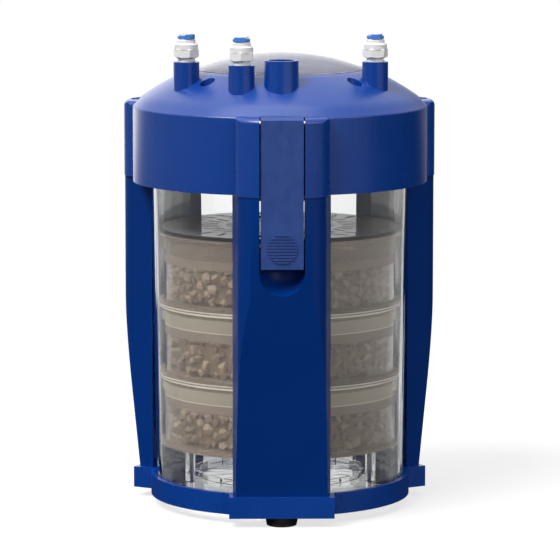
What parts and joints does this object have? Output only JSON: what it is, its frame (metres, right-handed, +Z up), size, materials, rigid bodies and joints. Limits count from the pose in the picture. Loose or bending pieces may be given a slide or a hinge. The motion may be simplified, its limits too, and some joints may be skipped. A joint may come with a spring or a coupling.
{
  "type": "canister filter",
  "caption": "Round aquarium canister filter: clear canister with stacked media trays, blue latched lid with pump, clear dome and push-fit tube ports, on legs and rubber feet.",
  "frame": {"origin": "on the floor under the middle of the overall box; the canister's axis stands 7.08 mm behind it, at x = 0, y = +0.00708", "axes": "+Z up along the canister's axis; -Y is the front, where the front leg, the front latch and the cable port are; +X is the viewer's right"},
  "size_m": [0.2142, 0.2142, 0.3244],
  "materials": {
    "shell_blue": "moulded blue, satin gloss",
    "latch_blue": "fine matte, a little greyer than the shell",
    "clip_blue": "bright blue",
    "canister_clear": "clear moulded plastic",
    "tray_clear": "clear moulded plastic",
    "dome_smoke": "clear, slightly smoky plastic",
    "rubber_black": "matte rubber",
    "fitting_white": "white acetal",
    "pump_grey": "grey moulded plastic",
    "stator_dark": "potting resin over windings",
    "magnet_dark": "sintered magnet",
    "shaft_ceramic": "white ceramic",
    "steel": "stainless steel",
    "stone": "rough filter gravel"
  },
  "bodies": {
    "base": {"base_ring": "shell_blue", "foot_front": "rubber_black", "foot_right": "rubber_black", "foot_left": "rubber_black", "foot_screws": "steel", "leg_front": "shell_blue", "leg_right": "shell_blue", "leg_left": "shell_blue", "leg_screws": "steel", "canister": "canister_clear", "canister_seal": "rubber_black", "riser_tube": "pump_grey"},
    "lid": {"lid": "shell_blue", "lid_dome": "dome_smoke", "dome_seal": "rubber_black", "lid_screws": "steel", "cable_gland": "rubber_black", "latch_pins": "steel", "pump_carrier": "pump_grey", "motor_stator": "stator_dark", "pump_shaft": "shaft_ceramic", "shaft_bushes": "rubber_black", "impeller_cover": "pump_grey", "fitting_left": "fitting_white", "fitting_centre": "fitting_white", "fitting_right": "fitting_white", "collet_left": "fitting_white", "collet_centre": "fitting_white", "collet_right": "fitting_white", "fitting_washers": "fitting_white", "fitting_orings": "rubber_black"},
    "latch_front": {"latch_front": "latch_blue"},
    "latch_right": {"latch_right": "latch_blue"},
    "latch_left": {"latch_left": "latch_blue"},
    "rotor": {"rotor_magnet": "magnet_dark", "impeller": "pump_grey"},
    "clip_left": {"clip_left": "clip_blue"},
    "clip_centre": {"clip_centre": "clip_blue"},
    "clip_right": {"clip_right": "clip_blue"},
    "tray_lower": {"tray_lower": "tray_clear", "media_lower": "stone"},
    "tray_middle": {"tray_middle": "tray_clear", "media_middle": "stone"},
    "tray_upper": {"tray_upper": "tray_clear", "media_upper": "stone", "tray_cover": "tray_clear", "tray_gasket": "rubber_black"}
  },
  "joints": [
    {"name": "lid_lift", "type": "slide", "parent": "base", "child": "lid", "axis": [0, 0, 1], "range_m": [0, 0.11]},
    {"name": "latch_front_hinge", "type": "hinge", "parent": "lid", "child": "latch_front", "pos_m": [0, -0.10092, 0.27], "axis": [-1, 0, 0], "range_deg": [0, 133]},
    {"name": "latch_right_hinge", "type": "hinge", "parent": "lid", "child": "latch_right", "pos_m": [0.09353, 0.06108, 0.27], "axis": [0.5, -0.866, 0], "range_deg": [0, 133]},
    {"name": "latch_left_hinge", "type": "hinge", "parent": "lid", "child": "latch_left", "pos_m": [-0.09353, 0.06108, 0.27], "axis": [0.5, 0.866, 0], "range_deg": [0, 133]},
    {"name": "tray_lower_lift", "type": "slide", "parent": "base", "child": "tray_lower", "axis": [0, 0, 1], "range_m": [0, 0.0225]},
    {"name": "tray_middle_lift", "type": "slide", "parent": "base", "child": "tray_middle", "axis": [0, 0, 1], "range_m": [0, 0.0478]},
    {"name": "tray_upper_lift", "type": "slide", "parent": "base", "child": "tray_upper", "axis": [0, 0, 1], "range_m": [0, 0.072]},
    {"name": "rotor_spin", "type": "hinge", "parent": "lid", "child": "rotor", "pos_m": [0, 0.00708, 0.22], "axis": [0, 0, 1], "continuous": true},
    {"name": "clip_left_slide", "type": "slide", "parent": "lid", "child": "clip_left", "axis": [0.515, -0.8572, 0], "range_m": [0, 0.012]},
    {"name": "clip_centre_slide", "type": "slide", "parent": "lid", "child": "clip_centre", "axis": [-0.2079, -0.9781, 0], "range_m": [0, 0.012]},
    {"name": "clip_right_slide", "type": "slide", "parent": "lid", "child": "clip_right", "axis": [0.1392, -0.9903, 0], "range_m": [0, 0.012]}
  ],
  "couplings": [
    {"joint": "latch_front_hinge", "follows": "lid_lift", "rad_per_m": 20.944},
    {"joint": "latch_right_hinge", "follows": "lid_lift", "rad_per_m": 20.944},
    {"joint": "latch_left_hinge", "follows": "lid_lift", "rad_per_m": 20.944},
    {"joint": "tray_lower_lift", "follows": "lid_lift", "ratio": 0.2},
    {"joint": "tray_middle_lift", "follows": "lid_lift", "ratio": 0.43},
    {"joint": "tray_upper_lift", "follows": "lid_lift", "ratio": 0.65}
  ]
}
